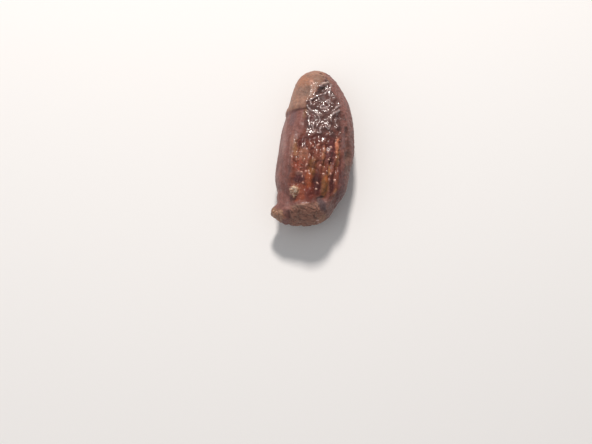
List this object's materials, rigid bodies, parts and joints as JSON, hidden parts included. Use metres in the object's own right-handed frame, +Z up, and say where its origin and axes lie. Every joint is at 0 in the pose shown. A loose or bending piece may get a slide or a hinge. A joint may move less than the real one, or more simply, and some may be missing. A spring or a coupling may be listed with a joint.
{
  "type": "caramelized almond",
  "caption": "Roasted almond in a hard, uneven caramel coat, lying flat, with a ridged and grainy glossy window on top, a thick cap of caramel on its broad end and lumps of sugar stuck on.",
  "frame": {"origin": "on the surface that the almond lies on, under the middle of its bounding box", "axes": "+Y towards the almond's tip, +Z up out of the shown face, +X to the right seen from above with the tip away from the viewer"},
  "size_m": [0.0134, 0.0284, 0.0093],
  "materials": {
    "caramel_coat": "set caramel, glossy on the face and satin on the flanks, red brown to mauve brown"
  },
  "bodies": {
    "root": {"caramelized_almond": "caramel_coat"}
  },
  "joints": []
}
